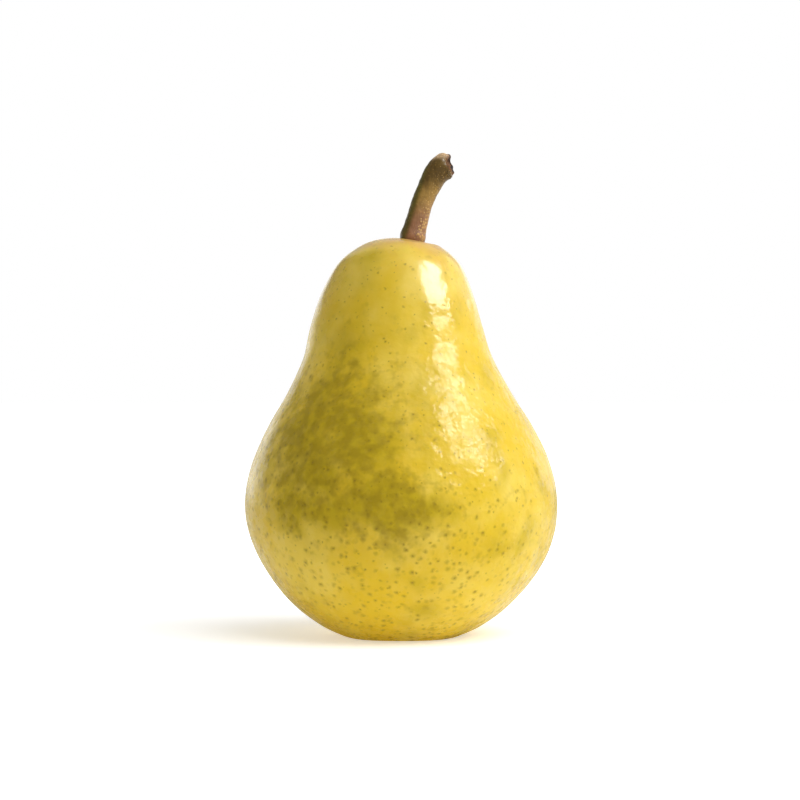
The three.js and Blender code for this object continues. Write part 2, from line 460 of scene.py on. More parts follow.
def make_pear_skin(look):
    """The waxy skin of a ripe pear: thin cuticle over pale flesh, with corky breathing pores.

    The wax gives a soft, clear shine that shallow dimples break up. Light passes a little way into the
    flesh. The skin is butter yellow where it ripened, olive in two patches on the front that are partly
    painted shade, and tan with russet, a fine cork, round the stem and in the calyx basin.
    """
    material, tree, shader = start_material("waxy_pear_skin")
    place = add_node(tree, "ShaderNodeTexCoord").outputs["Object"]
    axes = add_node(tree, "ShaderNodeSeparateXYZ", {0: place})
    height = axes.outputs["Z"]

    # Ripe skin varies from gold to butter in clouds.
    clouds = add_node(
        tree,
        "ShaderNodeTexNoise",
        {"Vector": place, "Scale": 1 / RIPE_CLOUD, "Detail": 4.0, "Roughness": 0.55},
    )
    paleness = add_node(
        tree,
        "ShaderNodeMapRange",
        {"Value": clouds.outputs["Fac"], "From Min": 0.4, "From Max": 0.66},
        interpolation_type="SMOOTHSTEP",
    )
    colour = add_node(
        tree,
        "ShaderNodeMix",
        {FACTOR: paleness.outputs[0], COLOUR_A: (*look.ripe, 1), COLOUR_B: (*look.butter, 1)},
        data_type="RGBA",
    ).outputs[COLOUR_OUT]

    # The skin is greener and darker in two patches, on the front left and low in the middle; the darkening
    # is partly painted shade.
    painted_shade_amounts = []
    for middle, none, full in PAINTED_SHADE_PATCHES:
        away = add_node(tree, "ShaderNodeVectorMath", {0: place, 1: middle}, operation="DISTANCE")
        amount = add_node(
            tree,
            "ShaderNodeMapRange",
            {"Value": away.outputs["Value"], "From Min": none, "From Max": full},
            interpolation_type="SMOOTHSTEP",
        )
        painted_shade_amounts.append(amount.outputs[0])
    painted_shade = add_node(tree, "ShaderNodeMath", {0: painted_shade_amounts[0], 1: painted_shade_amounts[1]}, operation="MAXIMUM").outputs[0]
    patches = add_node(
        tree,
        "ShaderNodeTexNoise",
        {"Vector": place, "Scale": 1 / SHADE_PATCH, "Detail": 2.0, "Roughness": 0.45},
    )
    greenness = add_node(
        tree, "ShaderNodeMath", {0: painted_shade, 1: 0.3, 2: patches.outputs["Fac"]}, operation="MULTIPLY_ADD"
    )
    green_amount = add_node(
        tree,
        "ShaderNodeMapRange",
        {"Value": greenness.outputs[0], "From Min": 0.46, "From Max": 0.86},
        interpolation_type="SMOOTHSTEP",
    )
    colour = add_node(
        tree,
        "ShaderNodeMix",
        {FACTOR: green_amount.outputs[0], COLOUR_A: colour, COLOUR_B: (*look.green, 1)},
        data_type="RGBA",
    ).outputs[COLOUR_OUT]

    # Dull smudges, almost only where it is green, and so mostly in the painted shade.
    smudges = add_node(
        tree,
        "ShaderNodeTexNoise",
        {"Vector": place, "Scale": 1 / SMUDGE, "Detail": 2.0, "Roughness": 0.55},
    )
    dullness = add_node(
        tree, "ShaderNodeMath", {0: painted_shade, 1: 0.3, 2: smudges.outputs["Fac"]}, operation="MULTIPLY_ADD"
    )
    blotch_amount = add_node(
        tree,
        "ShaderNodeMapRange",
        {"Value": dullness.outputs[0], "From Min": 0.6, "From Max": 0.9, "To Max": 0.58},
    )
    colour = add_node(
        tree,
        "ShaderNodeMix",
        {FACTOR: blotch_amount.outputs[0], COLOUR_A: colour, COLOUR_B: (*look.blotch, 1)},
        data_type="RGBA",
    ).outputs[COLOUR_OUT]

    # Corky pores: dark specks of under 0.5 mm, each in an olive halo, few on the neck and dense below.
    jitter = add_node(
        tree, "ShaderNodeTexNoise", {"Vector": place, "Scale": 1 / PORE_NUDGE_SIZE, "Detail": 2.0}
    )
    nudge = add_node(
        tree, "ShaderNodeVectorMath", {0: jitter.outputs["Color"], "Scale": PORE_NUDGE}, operation="SCALE"
    )
    nudged = add_node(tree, "ShaderNodeVectorMath", {0: place, 1: nudge.outputs[0]}, operation="ADD")
    pores = add_node(
        tree, "ShaderNodeTexVoronoi", {"Vector": nudged.outputs[0], "Scale": 1 / look.lenticel_spacing}
    )
    lot = add_node(tree, "ShaderNodeSeparateColor", {0: pores.outputs["Color"]})
    # Fewer, smaller pores towards the lit right side are painted light.
    up_and_lit = add_node(tree, "ShaderNodeVectorMath", {0: place, 1: PORES_THIN_UP_AND_LIT}, operation="DOT_PRODUCT")
    density = add_node(
        tree,
        "ShaderNodeMapRange",
        {
            "Value": up_and_lit.outputs["Value"],
            "From Min": PORES_FEW,
            "From Max": PORES_DENSE,
            "To Min": 0.34,
            "To Max": 1.0,
        },
        interpolation_type="SMOOTHSTEP",
    )
    pore_size = add_node(
        tree, "ShaderNodeMath", {0: lot.outputs[0], 1: density.outputs[0]}, operation="MULTIPLY"
    )
    speck_edge = add_node(
        tree,
        "ShaderNodeMapRange",
        {"Value": pore_size.outputs[0], "From Min": 0.1, "From Max": 0.8, "To Min": 0.05, "To Max": 0.2},
    )
    speck = add_node(
        tree,
        "ShaderNodeMapRange",
        {
            "Value": pores.outputs["Distance"],
            "From Min": 0.02,
            "From Max": speck_edge.outputs[0],
            "To Min": 0.5,
            "To Max": 0.0,
        },
        interpolation_type="SMOOTHSTEP",
    )
    halo_edge = add_node(
        tree,
        "ShaderNodeMapRange",
        {"Value": pore_size.outputs[0], "From Min": 0.1, "From Max": 0.8, "To Min": 0.16, "To Max": 0.62},
    )
    halo = add_node(
        tree,
        "ShaderNodeMapRange",
        {
            "Value": pores.outputs["Distance"],
            "From Min": 0.05,
            "From Max": halo_edge.outputs[0],
            "To Min": 0.55,
            "To Max": 0.0,
        },
        interpolation_type="SMOOTHSTEP",
    )
    for amount, tint in ((halo, look.blotch), (speck, look.pore)):
        colour = add_node(
            tree,
            "ShaderNodeMix",
            {FACTOR: amount.outputs[0], COLOUR_A: colour, COLOUR_B: (*tint, 1)},
            data_type="RGBA",
        ).outputs[COLOUR_OUT]

    # Russet spreads from the stem in a ragged cap, and lines the calyx basin.
    ragged = add_node(
        tree,
        "ShaderNodeTexNoise",
        {"Vector": place, "Scale": 1 / RUSSET_CLOUD, "Detail": 4.0, "Roughness": 0.65},
    )
    spread = add_node(
        tree,
        "ShaderNodeMapRange",
        {
            "Value": ragged.outputs["Fac"],
            "From Min": 0.3,
            "From Max": 0.7,
            "To Min": -RUSSET_RAGGED,
            "To Max": RUSSET_RAGGED,
        },
    )
    russets = []
    for middle, none, full, strength in RUSSETS:
        away = add_node(tree, "ShaderNodeVectorMath", {0: place, 1: middle}, operation="DISTANCE")
        reach = add_node(
            tree, "ShaderNodeMath", {0: away.outputs["Value"], 1: spread.outputs[0]}, operation="ADD"
        )
        amount = add_node(
            tree,
            "ShaderNodeMapRange",
            {"Value": reach.outputs[0], "From Min": none, "From Max": full, "To Max": strength},
            interpolation_type="SMOOTHSTEP",
        )
        russets.append(amount.outputs[0])
    russet = add_node(tree, "ShaderNodeMath", {0: russets[0], 1: russets[1]}, operation="MAXIMUM")
    colour = add_node(
        tree,
        "ShaderNodeMix",
        {FACTOR: russet.outputs[0], COLOUR_A: colour, COLOUR_B: (*look.russet, 1)},
        data_type="RGBA",
    ).outputs[COLOUR_OUT]
    tree.links.new(colour, shader.inputs["Base Color"])

    # Wax is smooth, and pores and russet are dull cork.
    wax = add_node(
        tree,
        "ShaderNodeTexNoise",
        {"Vector": place, "Scale": 1 / WAX_PATCH, "Detail": 3.0, "Roughness": 0.6},
    )
    cork = add_node(
        tree, "ShaderNodeMath", {0: speck.outputs[0], 1: russet.outputs[0]}, operation="MAXIMUM"
    )
    wax_roughness = add_node(
        tree,
        "ShaderNodeMapRange",
        {"Value": wax.outputs["Fac"], "From Min": 0.3, "From Max": 0.7, "To Min": 0.22, "To Max": 0.32},
    )
    roughness = add_node(
        tree,
        "ShaderNodeMath",
        {0: cork.outputs[0], 1: 0.16, 2: wax_roughness.outputs[0]},
        operation="MULTIPLY_ADD",
    )
    tree.links.new(roughness.outputs[0], shader.inputs["Roughness"])

    # Relief in metres: ripples, a fine grain, and pits at the pores.
    ripples = add_node(
        tree,
        "ShaderNodeTexNoise",
        {"Vector": place, "Scale": 1 / RIPPLE, "Detail": 2.6, "Roughness": 0.5},
    )
    ripple_size = add_node(
        tree,
        "ShaderNodeMapRange",
        {
            "Value": height,
            "From Min": RIPPLES_TOP,
            "From Max": RIPPLES_FULL,
            "To Min": RIPPLE_LOW,
            "To Max": RIPPLE_HIGH,
        },
    )
    sunny = add_node(
        tree,
        "ShaderNodeMapRange",
        {
            "Value": axes.outputs["X"],
            "From Min": SUNNY_FROM,
            "From Max": SUNNY_TO,
            "To Min": 0.35,
            "To Max": 1.0,
        },
    )
    ripple_height = add_node(
        tree, "ShaderNodeMath", {0: sunny.outputs[0], 1: ripple_size.outputs[0]}, operation="MULTIPLY"
    )
    rippled = add_node(
        tree,
        "ShaderNodeMath",
        {0: ripples.outputs["Fac"], 1: ripple_height.outputs[0]},
        operation="MULTIPLY",
    )
    grain = add_node(tree, "ShaderNodeTexNoise", {"Vector": place, "Scale": 1 / GRAIN, "Detail": 2.0})
    grained = add_node(
        tree,
        "ShaderNodeMath",
        {0: grain.outputs["Fac"], 1: GRAIN_HEIGHT, 2: rippled.outputs[0]},
        operation="MULTIPLY_ADD",
    )
    pitted = add_node(
        tree,
        "ShaderNodeMath",
        {0: speck.outputs[0], 1: -PORE_DEPTH, 2: grained.outputs[0]},
        operation="MULTIPLY_ADD",
    )
    bump = add_node(tree, "ShaderNodeBump", {"Height": pitted.outputs[0], "Distance": 1.0})
    tree.links.new(bump.outputs[0], shader.inputs["Normal"])

    # The wax is full on the neck, and worn thin in patches below it.
    worn = add_node(
        tree,
        "ShaderNodeTexNoise",
        {"Vector": place, "Scale": 1 / WAX_PATCH, "Detail": 2.0, "Roughness": 0.55},
    )
    wear = add_node(
        tree,
        "ShaderNodeMapRange",
        {"Value": worn.outputs["Fac"], "From Min": 0.42, "From Max": 0.6, "To Min": 0.08, "To Max": 0.42},
    )
    on_neck = add_node(
        tree, "ShaderNodeMapRange", {"Value": height, "From Min": NECK_FROM, "From Max": NECK_TO}
    )
    waxed_by = add_node(
        tree, "ShaderNodeMath", {0: wear.outputs[0], 1: on_neck.outputs[0]}, operation="MAXIMUM"
    )
    tree.links.new(waxed_by.outputs[0], shader.inputs["Coat Weight"])

    # The wax over the skin is more uneven than the skin, so only its shine is broken into glints.
    glints = add_node(
        tree, "ShaderNodeTexNoise", {"Vector": place, "Scale": 1 / GLINT, "Detail": 2.5, "Roughness": 0.5}
    )
    waxed = add_node(
        tree,
        "ShaderNodeMath",
        {0: glints.outputs["Fac"], 1: ripple_height.outputs[0]},
        operation="MULTIPLY",
    )
    wax_height = add_node(
        tree,
        "ShaderNodeMath",
        {0: waxed.outputs[0], 1: GLINT_HEIGHT, 2: pitted.outputs[0]},
        operation="MULTIPLY_ADD",
    )
    wax_bump = add_node(tree, "ShaderNodeBump", {"Height": wax_height.outputs[0], "Distance": 1.0})
    tree.links.new(wax_bump.outputs[0], shader.inputs["Coat Normal"])

    shader.inputs["IOR"].default_value = 1.43
    shader.inputs["Specular IOR Level"].default_value = 0.12
    shader.inputs["Coat IOR"].default_value = 1.42
    shader.inputs["Coat Roughness"].default_value = 0.17
    shader.inputs["Subsurface Weight"].default_value = 0.15
    shader.inputs["Subsurface Radius"].default_value = (1.0, 0.6, 0.15)
    shader.inputs["Subsurface Scale"].default_value = 3 * MM
    return material


# --- Bark and dry tissue ---

STREAK = 0.7 * MM
STREAK_STRETCH = (1, 1, 0.3)
STREAK_HEIGHT = 0.08 * MM
BARK_CLOUD = 3 * MM
FLECK_SPACING, FLECK_HEIGHT = 0.6 * MM, 0.05 * MM

# Heights on the stem: red and flecked at the first two, bark brown at the next, then dark and capped.
RED_BELOW, FLECKED_BELOW = 92 * MM, 94 * MM
BARK_HEIGHT = 99 * MM
DARK_ABOVE = 103 * MM
CAP_FROM, CAP_TO, CAP_RAGGED = 107.3 * MM, 108.9 * MM, 1.6 * MM

# Places across the lower stem, which leans by 0.31 mm in each millimetre of height.
STEM_ACROSS = (1, 0, -0.31)
# Painted shade darkens the left side of the stem, from the first place across it to the second.
PAINTED_SHADE_FROM, PAINTED_SHADE_TO = -25.9 * MM, -27.2 * MM
FLECKS_FROM, FLECKS_TO = -25.2 * MM, -23.6 * MM

# The scar, by the distance from its middle.
SCAR_MIDDLE = tuple(c * MM for c in STEM_LINE[-1])
SCAR_RAGGED = 1.2 * MM
RIM_OUTER, RIM_INNER, WOUND_FULL = 3.4 * MM, 2.9 * MM, 2.5 * MM

FIBRE, FIBRE_HEIGHT = 0.8 * MM, 0.35 * MM


def make_stem_bark(look):
    """Young bark: thin and finely streaked, with a little wax left, and corky flecks on the sunny side.

    It is reddish near the fruit and dark olive at the head, with a pale dry cap. Where the stem broke off
    the wood is nearly black, in a ragged reddish rim.
    """
    material, tree, shader = start_material("woody_stem_bark")
    place = add_node(tree, "ShaderNodeTexCoord").outputs["Object"]
    height = add_node(tree, "ShaderNodeSeparateXYZ", {0: place}).outputs["Z"]
    sideways = add_node(tree, "ShaderNodeVectorMath", {0: place, 1: STEM_ACROSS}, operation="DOT_PRODUCT")
    side = sideways.outputs["Value"]

    # Streaks, stretched along the stem.
    stretched = add_node(
        tree, "ShaderNodeVectorMath", {0: place, 1: STREAK_STRETCH}, operation="MULTIPLY"
    )
    streaks = add_node(
        tree,
        "ShaderNodeTexNoise",
        {"Vector": stretched.outputs[0], "Scale": 1 / STREAK, "Detail": 5.0, "Roughness": 0.62},
    )
    clouds = add_node(
        tree,
        "ShaderNodeTexNoise",
        {"Vector": place, "Scale": 1 / BARK_CLOUD, "Detail": 3.0, "Roughness": 0.55},
    )

    # Reddish near the fruit, brown along the stem, dark at the head, and painted shade in dark olive down
    # the left side.
    colour = (*look.bark, 1)
    tints = (
        (height, BARK_HEIGHT, RED_BELOW, 1.0, look.foot),
        (height, BARK_HEIGHT, DARK_ABOVE, 1.0, look.head),
        (side, PAINTED_SHADE_FROM, PAINTED_SHADE_TO, 0.9, look.painted_shade_side),
    )
    for measure, none, full, strength, tint in tints:
        amount = add_node(
            tree,
            "ShaderNodeMapRange",
            {"Value": measure, "From Min": none, "From Max": full, "To Max": strength},
            interpolation_type="SMOOTHSTEP",
        )
        colour = add_node(
            tree,
            "ShaderNodeMix",
            {FACTOR: amount.outputs[0], COLOUR_A: colour, COLOUR_B: (*tint, 1)},
            data_type="RGBA",
        ).outputs[COLOUR_OUT]
    tone = add_node(
        tree, "ShaderNodeMath", {0: streaks.outputs["Fac"], 1: clouds.outputs["Fac"]}, operation="ADD"
    )
    light = add_node(
        tree,
        "ShaderNodeMapRange",
        {"Value": tone.outputs[0], "From Min": 0.7, "From Max": 1.3, "To Min": 0.72, "To Max": 1.25},
    )
    colour = add_node(
        tree, "ShaderNodeVectorMath", {0: colour, "Scale": light.outputs[0]}, operation="SCALE"
    ).outputs[0]

    # Corky flecks, thick on the lower right and a few elsewhere.
    flecks = add_node(tree, "ShaderNodeTexVoronoi", {"Vector": place, "Scale": 1 / FLECK_SPACING})
    sunny = add_node(
        tree,
        "ShaderNodeMapRange",
        {"Value": side, "From Min": FLECKS_FROM, "From Max": FLECKS_TO},
        interpolation_type="SMOOTHSTEP",
    )
    low = add_node(
        tree,
        "ShaderNodeMapRange",
        {
            "Value": height,
            "From Min": BARK_HEIGHT,
            "From Max": FLECKED_BELOW,
            "To Min": 0.14,
            "To Max": 0.66,
        },
    )
    fleck_edge = add_node(
        tree,
        "ShaderNodeMath",
        {0: sunny.outputs[0], 1: low.outputs[0], 2: 0.12},
        operation="MULTIPLY_ADD",
    )
    fleck = add_node(
        tree,
        "ShaderNodeMapRange",
        {
            "Value": flecks.outputs["Distance"],
            "From Min": 0.05,
            "From Max": fleck_edge.outputs[0],
            "To Min": 0.85,
            "To Max": 0.0,
        },
        interpolation_type="SMOOTHSTEP",
    )
    colour = add_node(
        tree,
        "ShaderNodeMix",
        {FACTOR: fleck.outputs[0], COLOUR_A: colour, COLOUR_B: (*look.fleck, 1)},
        data_type="RGBA",
    ).outputs[COLOUR_OUT]

    # The pale dry cap on top of the head.
    capped = add_node(
        tree,
        "ShaderNodeMath",
        {0: clouds.outputs["Fac"], 1: CAP_RAGGED, 2: height},
        operation="MULTIPLY_ADD",
    )
    cap = add_node(
        tree,
        "ShaderNodeMapRange",
        {"Value": capped.outputs[0], "From Min": CAP_FROM, "From Max": CAP_TO, "To Max": 0.9},
        interpolation_type="SMOOTHSTEP",
    )
    colour = add_node(
        tree,
        "ShaderNodeMix",
        {FACTOR: cap.outputs[0], COLOUR_A: colour, COLOUR_B: (*look.cap, 1)},
        data_type="RGBA",
    ).outputs[COLOUR_OUT]

    # The scar: dark wood inside a reddish rim.
    from_scar = add_node(tree, "ShaderNodeVectorMath", {0: place, 1: SCAR_MIDDLE}, operation="DISTANCE")
    torn = add_node(
        tree,
        "ShaderNodeMath",
        {0: streaks.outputs["Fac"], 1: SCAR_RAGGED, 2: from_scar.outputs["Value"]},
        operation="MULTIPLY_ADD",
    )
    rim = add_node(
        tree,
        "ShaderNodeMapRange",
        {"Value": torn.outputs[0], "From Min": RIM_OUTER, "From Max": RIM_INNER, "To Max": 0.7},
        interpolation_type="SMOOTHSTEP",
    )
    wound = add_node(
        tree,
        "ShaderNodeMapRange",
        {"Value": torn.outputs[0], "From Min": RIM_INNER, "From Max": WOUND_FULL},
        interpolation_type="SMOOTHSTEP",
    )
    for amount, tint in ((rim, look.rim), (wound, look.scar)):
        colour = add_node(
            tree,
            "ShaderNodeMix",
            {FACTOR: amount.outputs[0], COLOUR_A: colour, COLOUR_B: (*tint, 1)},
            data_type="RGBA",
        ).outputs[COLOUR_OUT]
    tree.links.new(colour, shader.inputs["Base Color"])

    # Bark shines a little, and cork and torn wood not at all.
    dry = add_node(tree, "ShaderNodeMath", {0: fleck.outputs[0], 1: rim.outputs[0]}, operation="MAXIMUM")
    roughness = add_node(
        tree, "ShaderNodeMapRange", {"Value": dry.outputs[0], "To Min": 0.36, "To Max": 0.85}
    )
    tree.links.new(roughness.outputs[0], shader.inputs["Roughness"])

    # Relief in metres: raised streaks and flecks.
    streaked = add_node(
        tree, "ShaderNodeMath", {0: streaks.outputs["Fac"], 1: STREAK_HEIGHT}, operation="MULTIPLY"
    )
    raised = add_node(
        tree,
        "ShaderNodeMath",
        {0: fleck.outputs[0], 1: FLECK_HEIGHT, 2: streaked.outputs[0]},
        operation="MULTIPLY_ADD",
    )
    bump = add_node(tree, "ShaderNodeBump", {"Height": raised.outputs[0], "Distance": 1.0})
    tree.links.new(bump.outputs[0], shader.inputs["Normal"])
    shader.inputs["IOR"].default_value = 1.5
    shader.inputs["Specular IOR Level"].default_value = 0.3
    return material


def make_dry_tissue(name, base):
    """Withered leaf or thread: brittle, matt and wrinkled, with no wax left."""
    material, tree, shader = start_material(name)
    place = add_node(tree, "ShaderNodeTexCoord").outputs["Object"]
    fibres = add_node(
        tree,
        "ShaderNodeTexNoise",
        {"Vector": place, "Scale": 1 / FIBRE, "Detail": 4.0, "Roughness": 0.65},
    )
    tone = add_node(
        tree,
        "ShaderNodeMapRange",
        {"Value": fibres.outputs["Fac"], "From Min": 0.3, "From Max": 0.7},
    )
    colour = add_node(
        tree,
        "ShaderNodeMix",
        {FACTOR: tone.outputs[0], COLOUR_A: (*(c * 0.3 for c in base), 1), COLOUR_B: (*base, 1)},
        data_type="RGBA",
    ).outputs[COLOUR_OUT]
    tree.links.new(colour, shader.inputs["Base Color"])
    shader.inputs["Roughness"].default_value = 0.85
    bump = add_node(tree, "ShaderNodeBump", {"Height": fibres.outputs["Fac"], "Distance": FIBRE_HEIGHT})
    tree.links.new(bump.outputs[0], shader.inputs["Normal"])
    return material


# --- Pieces ---


def bend_fruit(place):
    """Takes a point of the round fruit to where it lies in the real, uneven one."""
    radius = math.hypot(place.x, place.y) / BELLY_RADIUS
    share = place.z / FRUIT_HEIGHT
    angle = math.atan2(place.y, place.x)
    near_top = ease(share, *LOBES_FADE)
    near_base = 1 - ease(share, 0, LOBES_FIVE_UP_TO)
    swell = (
        LOBES_FLAT * (math.cos(2 * angle) - 1) / 2
        + LOBES_THREE * math.sin(3 * angle)
        + LOBES_FIVE * near_base * math.sin(5 * angle)
        + HIP_SIZE * (1 + math.cos(angle)) / 2 * math.exp(-(((share - HIP_HEIGHT) / HIP_REACH) ** 2))
    )
    grown = 1 + swell * (1 - near_top)
    bent = Vector((place.x * grown, place.y * grown, place.z))
    top = 1 - ease(radius, CROWN_INNER, CROWN_OUTER) if share > CROWN_ABOVE else 0
    bent.z -= CROWN_TILT * top * bent.x
    lean = math.exp(-(((bent.z / FRUIT_HEIGHT - LEAN_HEIGHT) / LEAN_REACH) ** 2)) * (1 - top)
    bent += LEAN * lean
    bent.x += CROWN_SHIFT * top
    return bent


# The skin's relief: broad swellings, dimples and finer dimples, and none near the foot.
SWELL_SIZE, DIMPLE_SIZE, FINE_DIMPLE_SIZE = 22 * MM, 7 * MM, 3.6 * MM
FINE_DIMPLE_SHARE = 0.4
RELIEF_FROM, RELIEF_FULL = 0.5 * MM, 8 * MM


class PEAR_OT_fruit(bpy.types.Operator):
    """Models the fruit and its skin"""

    bl_idname = "pear.fruit"
    bl_label = "Fruit"

    def execute(self, context):
        look = context.scene.pear_fruit
        size = Vector((BELLY_RADIUS, FRUIT_HEIGHT))
        outline = []
        for part in (BASIN, FOOT, FLANK, SEAT):
            outline += smooth_line([Vector(point) * size for point in part], look.spacing)[:-1]
        outline.append(Vector(SEAT[-1]) * size)

        bm = bmesh.new()
        turn_outline(bm, outline, look.segments)
        for vert in bm.verts:
            vert.co = bend_fruit(vert.co)

        def relief(place):
            free = ease(place.z, RELIEF_FROM, RELIEF_FULL)
            broad = look.swell * noise.noise(place / SWELL_SIZE)
            dimples = look.dimples * noise.noise(place / DIMPLE_SIZE)
            fine = look.dimples * FINE_DIMPLE_SHARE * noise.noise(place / FINE_DIMPLE_SIZE)
            return free * (broad + (dimples + fine))

        raise_skin(bm, relief)
        finish_piece("pear_skin", bm, "fruit", make_pear_skin(look))
        return {"FINISHED"}


# The bark's relief: wrinkles and finer wrinkles, and ragged lumps near the torn end.
WRINKLE_SIZE, FINE_WRINKLE_SIZE, LUMP_SIZE = 1.4 * MM, 0.6 * MM, 1.5 * MM
FINE_WRINKLE_SHARE = 0.5
TORN_FULL, TORN_NONE = 2 * MM, 4.2 * MM


class PEAR_OT_stem(bpy.types.Operator):
    """Models the woody stem"""

    bl_idname = "pear.stem"
    bl_label = "Stem"

    def execute(self, context):
        look = context.scene.pear_stem
        line = smooth_line([Vector(point) * MM for point in STEM_LINE], STEM_LINE_SPACING)
        length = sum((b - a).length for a, b in zip(line, line[1:]))
        size = Vector((STEM_RADIUS, length))
        side = [Vector((0, 0))]
        side += smooth_line([Vector((r, s)) * size for s, r in STEM_SHAPE], look.spacing)
        side += smooth_line([Vector((r, s)) * size for s, r in SCAR], look.spacing)[1:]

        bm = bmesh.new()
        stalk = turn_outline(bm, side, look.segments)
        for vert in stalk:
            ridge = 1 + STEM_RIDGE_HEIGHT * math.cos(STEM_RIDGES * math.atan2(vert.co.y, vert.co.x))
            vert.co.x *= ridge
            vert.co.y *= ridge
        bend_along(stalk, line)

        def relief(place):
            wrinkles = noise.noise(place / WRINKLE_SIZE)
            wrinkles += FINE_WRINKLE_SHARE * noise.noise(place / FINE_WRINKLE_SIZE)
            torn = 1 - ease((place - Vector(SCAR_MIDDLE)).length, TORN_FULL, TORN_NONE)
            return look.wrinkles * wrinkles + torn * look.ragged * noise.noise(place / LUMP_SIZE)

        raise_skin(bm, relief)
        finish_piece("stem_stalk", bm, "stem", make_stem_bark(look))
        return {"FINISHED"}


DISC_TOP = BASIN[0][1] * FRUIT_HEIGHT - 0.4 * MM

# A sepal is a flat ball that tapers, is cupped and creased, and bends down.
SEPAL_COUNT, SEPAL_FACETS = 5, 28
SEPAL_TURN = 0.25  # share of the angle between two sepals
SEPAL_ROOT = 3.1 * MM
SEPAL_MIDDLE = DISC_TOP - 0.55 * MM
SEPAL_HALF_THICKNESS = 0.275 * MM
SEPAL_TAPER = 0.45
SEPAL_SHORTENED = 0.12  # share that the bend takes off its length
SEPAL_CUP, SEPAL_DROP = 0.35 * MM, 3.4 * MM
CREASE_DEPTH, CREASE_WIDTH = 0.3 * MM, 0.22
CURL_HEIGHT, CRINKLE_HEIGHT = 0.25 * MM, 0.12 * MM


class PEAR_OT_sepals(bpy.types.Operator):
    """Models the dried sepals in the basin"""

    bl_idname = "pear.sepals"
    bl_label = "Sepals"

    def execute(self, context):
        look = context.scene.pear_calyx
        material = make_dry_tissue("dry_sepal_tissue", look.leaf)
        for index in range(SEPAL_COUNT):
            bm = bmesh.new()
            bmesh.ops.create_uvsphere(bm, u_segments=SEPAL_FACETS, v_segments=SEPAL_FACETS, radius=1)
            # The ball's faces already point outward, and stay so.
            bmesh.ops.rotate(bm, verts=bm.verts, matrix=Matrix.Rotation(math.pi / 2, 3, "Y"))
            turn = Matrix.Rotation((index + SEPAL_TURN) / SEPAL_COUNT * math.tau, 3, "Z")
            for vert in bm.verts:
                across, up = vert.co.y, vert.co.z
                along = (1 + vert.co.x) / 2
                taper = 1 - SEPAL_TAPER * along**2
                cup = SEPAL_CUP * across**2 * (1 - along)
                crease = CREASE_DEPTH * math.exp(-((across / CREASE_WIDTH) ** 2)) * math.sin(math.pi * along)
                drop = SEPAL_DROP * math.sin(math.pi * along / 1.7)
                leaf = Vector(
                    (
                        SEPAL_ROOT + look.sepal_length * along * (1 - SEPAL_SHORTENED * along),
                        across * look.sepal_width * taper / 2,
                        SEPAL_MIDDLE + up * SEPAL_HALF_THICKNESS + cup + crease - drop,
                    )
                )
                leaf.z += CURL_HEIGHT * noise.noise(Vector((along * 3, across * 2.5, index * 7.3)))
                leaf.z += CRINKLE_HEIGHT * noise.noise(Vector((along * 9, across * 6, index * 5.1)))
                vert.co = turn @ leaf
            number = index + 1
            finish_piece(f"sepal_leaf_{number}", bm, f"sepal_{number}", material)
        return {"FINISHED"}


# The disc's outline and a thread's path, as distances in millimetres out from the axis and up.
DISC = [(0, -0.35), (1.25, -0.56), (2.15, -0.7), (2.5, -0.35), (2.25, 0), (0, 0)]
THREAD_PATH = [(1.85, 0, 0), (2.2, 0.15, -1.0), (2.3, -0.15, -2.0), (2.05, 0.1, -2.9)]
THREAD_TOP = DISC_TOP - 0.35 * MM
DISC_FACETS, THREAD_FACETS = 48, 10
THREAD_VARIES = 0.18  # share of its length


class PEAR_OT_stamens(bpy.types.Operator):
    """Models the withered stamens on their disc"""

    bl_idname = "pear.stamens"
    bl_label = "Stamens"

    def execute(self, context):
        look = context.scene.pear_calyx
        bm = bmesh.new()
        disc = smooth_line([Vector((r * MM, DISC_TOP + h * MM)) for r, h in DISC], 0.2 * MM)
        turn_outline(bm, disc, DISC_FACETS)
        for index in range(look.stamens):
            turn = Matrix.Rotation(index / look.stamens * math.tau, 3, "Z")
            reach = 1 + THREAD_VARIES * math.sin(index * 2.4)
            top = Vector((0, 0, THREAD_TOP))
            path = [Vector((x, y, z * reach)) * MM + top for x, y, z in THREAD_PATH]
            line = smooth_line(path, 0.2 * MM)
            length = sum((b - a).length for a, b in zip(line, line[1:]))
            tip = length / MM
            side = [(0, 0), (0.21, 0), (0.17, tip - 0.9), (0.36, tip - 0.4), (0.3, tip - 0.05)]
            outline = smooth_line([Vector(point) * MM for point in side] + [Vector((0, length))], 0.15 * MM)
            thread = turn_outline(bm, outline, THREAD_FACETS)
            bend_along(thread, line)
            bmesh.ops.rotate(bm, verts=thread, matrix=turn)
        material = make_dry_tissue("dry_stamen_tissue", look.thread)
        finish_piece("flower_remains", bm, "stamens", material)
        return {"FINISHED"}


# --- Stage ---


SOFT_BOX = (0.5, 0.5)
PANELS = [
    # name, azimuth, elevation, size, radiance of its light and radiance of its reflection
    ("window", -18, 43, (0.38, 0.4), 3.2, 11.5),
    ("right_front_high", -50, 45, SOFT_BOX, 1.9, 0.3),
    ("right_front_low", -42, 10, SOFT_BOX, 0.9, 0),
    ("front_high", -62, 58, SOFT_BOX, 1.1, 0),
    ("overhead", -90, 74, SOFT_BOX, 1.1, 0.05),
    ("right", 0, 15, SOFT_BOX, 1.0, 0.6),
    ("right_high", 0, 62, SOFT_BOX, 0.8, 0.2),
    ("right_back", 35, 20, SOFT_BOX, 0.3, 0.7),
    ("back", 80, 30, (0.8, 0.5), 0.2, 0.3),
    ("back_low", 90, 8, (1.5, 0.26), 0, 0.9),
    ("left_back", 135, 15, SOFT_BOX, 1.3, 0.05),
    ("left", 170, 15, SOFT_BOX, 0.45, 0),
    ("left_back_low", 136, 1, (0.6, 0.26), 0, 0.7),
]
